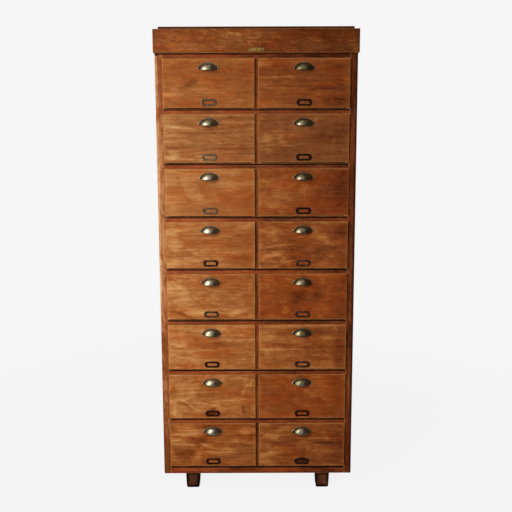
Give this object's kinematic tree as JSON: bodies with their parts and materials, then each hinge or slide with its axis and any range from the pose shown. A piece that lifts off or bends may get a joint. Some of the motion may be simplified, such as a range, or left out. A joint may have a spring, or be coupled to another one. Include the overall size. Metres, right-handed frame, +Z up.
{
  "type": "card catalog cabinet",
  "caption": "Tall wooden card catalog cabinet: side-by-side columns of sliding drawers with brass cup pulls and label holders, under a boxed crown, on block feet.",
  "frame": {"origin": "on the floor, under the middle of the overall box, with every drawer shut", "axes": "+X to the viewer's right, +Y to the back, +Z up; the drawers open towards -Y"},
  "size_m": [0.84, 0.4614, 2],
  "materials": {
    "drawer_wood": "worn satin varnish",
    "frame_wood": "worn satin varnish",
    "crown_wood": "worn satin varnish",
    "lid_wood": "dull varnish",
    "foot_wood": "dark stain, scuffed",
    "inner_wood": "unfinished",
    "pull_brass": "aged, brown in the hollows",
    "label_bronze": "dark patina",
    "plate_brass": "aged"
  },
  "bodies": {
    "cabinet": {"left_side_panel": "frame_wood", "right_side_panel": "frame_wood", "centre_partition": "frame_wood", "carcass_top": "inner_wood", "carcass_bottom": "inner_wood", "back_boards": "inner_wood", "face_frame": "frame_wood", "drawer_runners": "inner_wood", "crown_box": "crown_wood", "crown_lid": "lid_wood", "name_plate": "plate_brass", "block_feet": "foot_wood"},
    "left_drawer_1_body": {"left_drawer_1": "drawer_wood", "left_cup_pull_1": "pull_brass", "left_label_holder_1": "label_bronze"},
    "left_drawer_2_body": {"left_drawer_2": "drawer_wood", "left_cup_pull_2": "pull_brass", "left_label_holder_2": "label_bronze"},
    "left_drawer_3_body": {"left_drawer_3": "drawer_wood", "left_cup_pull_3": "pull_brass", "left_label_holder_3": "label_bronze"},
    "left_drawer_4_body": {"left_drawer_4": "drawer_wood", "left_cup_pull_4": "pull_brass", "left_label_holder_4": "label_bronze"},
    "left_drawer_5_body": {"left_drawer_5": "drawer_wood", "left_cup_pull_5": "pull_brass", "left_label_holder_5": "label_bronze"},
    "left_drawer_6_body": {"left_drawer_6": "drawer_wood", "left_cup_pull_6": "pull_brass", "left_label_holder_6": "label_bronze"},
    "left_drawer_7_body": {"left_drawer_7": "drawer_wood", "left_cup_pull_7": "pull_brass", "left_label_holder_7": "label_bronze"},
    "left_drawer_8_body": {"left_drawer_8": "drawer_wood", "left_cup_pull_8": "pull_brass", "left_label_holder_8": "label_bronze"},
    "right_drawer_1_body": {"right_drawer_1": "drawer_wood", "right_cup_pull_1": "pull_brass", "right_label_holder_1": "label_bronze"},
    "right_drawer_2_body": {"right_drawer_2": "drawer_wood", "right_cup_pull_2": "pull_brass", "right_label_holder_2": "label_bronze"},
    "right_drawer_3_body": {"right_drawer_3": "drawer_wood", "right_cup_pull_3": "pull_brass", "right_label_holder_3": "label_bronze"},
    "right_drawer_4_body": {"right_drawer_4": "drawer_wood", "right_cup_pull_4": "pull_brass", "right_label_holder_4": "label_bronze"},
    "right_drawer_5_body": {"right_drawer_5": "drawer_wood", "right_cup_pull_5": "pull_brass", "right_label_holder_5": "label_bronze"},
    "right_drawer_6_body": {"right_drawer_6": "drawer_wood", "right_cup_pull_6": "pull_brass", "right_label_holder_6": "label_bronze"},
    "right_drawer_7_body": {"right_drawer_7": "drawer_wood", "right_cup_pull_7": "pull_brass", "right_label_holder_7": "label_bronze"},
    "right_drawer_8_body": {"right_drawer_8": "drawer_wood", "right_cup_pull_8": "pull_brass", "right_label_holder_8": "label_bronze"}
  },
  "joints": [
    {"name": "left_drawer_1_slide", "type": "slide", "parent": "cabinet", "child": "left_drawer_1_body", "axis": [0, -1, 0], "range_m": [0, 0.32]},
    {"name": "left_drawer_2_slide", "type": "slide", "parent": "cabinet", "child": "left_drawer_2_body", "axis": [0, -1, 0], "range_m": [0, 0.32]},
    {"name": "left_drawer_3_slide", "type": "slide", "parent": "cabinet", "child": "left_drawer_3_body", "axis": [0, -1, 0], "range_m": [0, 0.32]},
    {"name": "left_drawer_4_slide", "type": "slide", "parent": "cabinet", "child": "left_drawer_4_body", "axis": [0, -1, 0], "range_m": [0, 0.32]},
    {"name": "left_drawer_5_slide", "type": "slide", "parent": "cabinet", "child": "left_drawer_5_body", "axis": [0, -1, 0], "range_m": [0, 0.32]},
    {"name": "left_drawer_6_slide", "type": "slide", "parent": "cabinet", "child": "left_drawer_6_body", "axis": [0, -1, 0], "range_m": [0, 0.32]},
    {"name": "left_drawer_7_slide", "type": "slide", "parent": "cabinet", "child": "left_drawer_7_body", "axis": [0, -1, 0], "range_m": [0, 0.32]},
    {"name": "left_drawer_8_slide", "type": "slide", "parent": "cabinet", "child": "left_drawer_8_body", "axis": [0, -1, 0], "range_m": [0, 0.32]},
    {"name": "right_drawer_1_slide", "type": "slide", "parent": "cabinet", "child": "right_drawer_1_body", "axis": [0, -1, 0], "range_m": [0, 0.32]},
    {"name": "right_drawer_2_slide", "type": "slide", "parent": "cabinet", "child": "right_drawer_2_body", "axis": [0, -1, 0], "range_m": [0, 0.32]},
    {"name": "right_drawer_3_slide", "type": "slide", "parent": "cabinet", "child": "right_drawer_3_body", "axis": [0, -1, 0], "range_m": [0, 0.32]},
    {"name": "right_drawer_4_slide", "type": "slide", "parent": "cabinet", "child": "right_drawer_4_body", "axis": [0, -1, 0], "range_m": [0, 0.32]},
    {"name": "right_drawer_5_slide", "type": "slide", "parent": "cabinet", "child": "right_drawer_5_body", "axis": [0, -1, 0], "range_m": [0, 0.32]},
    {"name": "right_drawer_6_slide", "type": "slide", "parent": "cabinet", "child": "right_drawer_6_body", "axis": [0, -1, 0], "range_m": [0, 0.32]},
    {"name": "right_drawer_7_slide", "type": "slide", "parent": "cabinet", "child": "right_drawer_7_body", "axis": [0, -1, 0], "range_m": [0, 0.32]},
    {"name": "right_drawer_8_slide", "type": "slide", "parent": "cabinet", "child": "right_drawer_8_body", "axis": [0, -1, 0], "range_m": [0, 0.32]}
  ]
}
